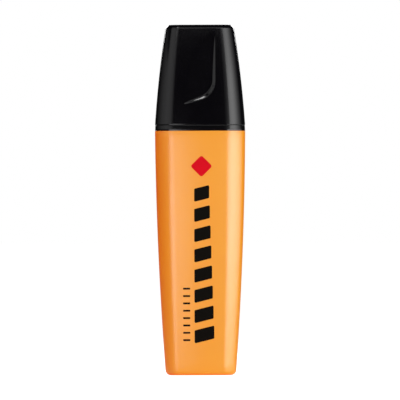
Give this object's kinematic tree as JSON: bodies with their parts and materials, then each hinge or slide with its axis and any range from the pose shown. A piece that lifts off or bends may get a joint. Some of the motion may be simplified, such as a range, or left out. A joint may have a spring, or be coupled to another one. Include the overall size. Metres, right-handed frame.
{
  "type": "capped highlighter",
  "caption": "Flat-bodied highlighter with a pull-off cap, chisel nib, snap-in front section and a fibre ink reservoir in a closed barrel.",
  "frame": {"origin": "centre of the flat rear end, at the bottom of the pen's box", "axes": "+Z along the pen from the rear end to the cap, +X across the broad face, -Y out of the front face, +Y the thin way through"},
  "size_m": [0.027, 0.017, 0.105],
  "materials": {
    "barrel_plastic": "satin moulded, fluorescent orange",
    "section_plastic": "moulded, black",
    "nib_fibre": "bonded fibre soaked in ink",
    "reservoir_fibre": "fibre wadding soaked in ink",
    "film": "thin clear film",
    "tube_plastic": "natural extruded",
    "cap_plastic": "glossy moulded, black",
    "liner_plastic": "moulded, dark grey"
  },
  "bodies": {
    "pen": {"barrel": "barrel_plastic", "front_section": "section_plastic", "nib": "nib_fibre", "reservoir_core": "reservoir_fibre", "reservoir_film": "film", "breather_tube": "tube_plastic"},
    "cap": {"cap": "cap_plastic", "inner_cap": "liner_plastic"}
  },
  "joints": [
    {"name": "cap_pull_off", "type": "slide", "parent": "pen", "child": "cap", "axis": [0, 0, 1], "range_m": [0, 0.04]}
  ]
}
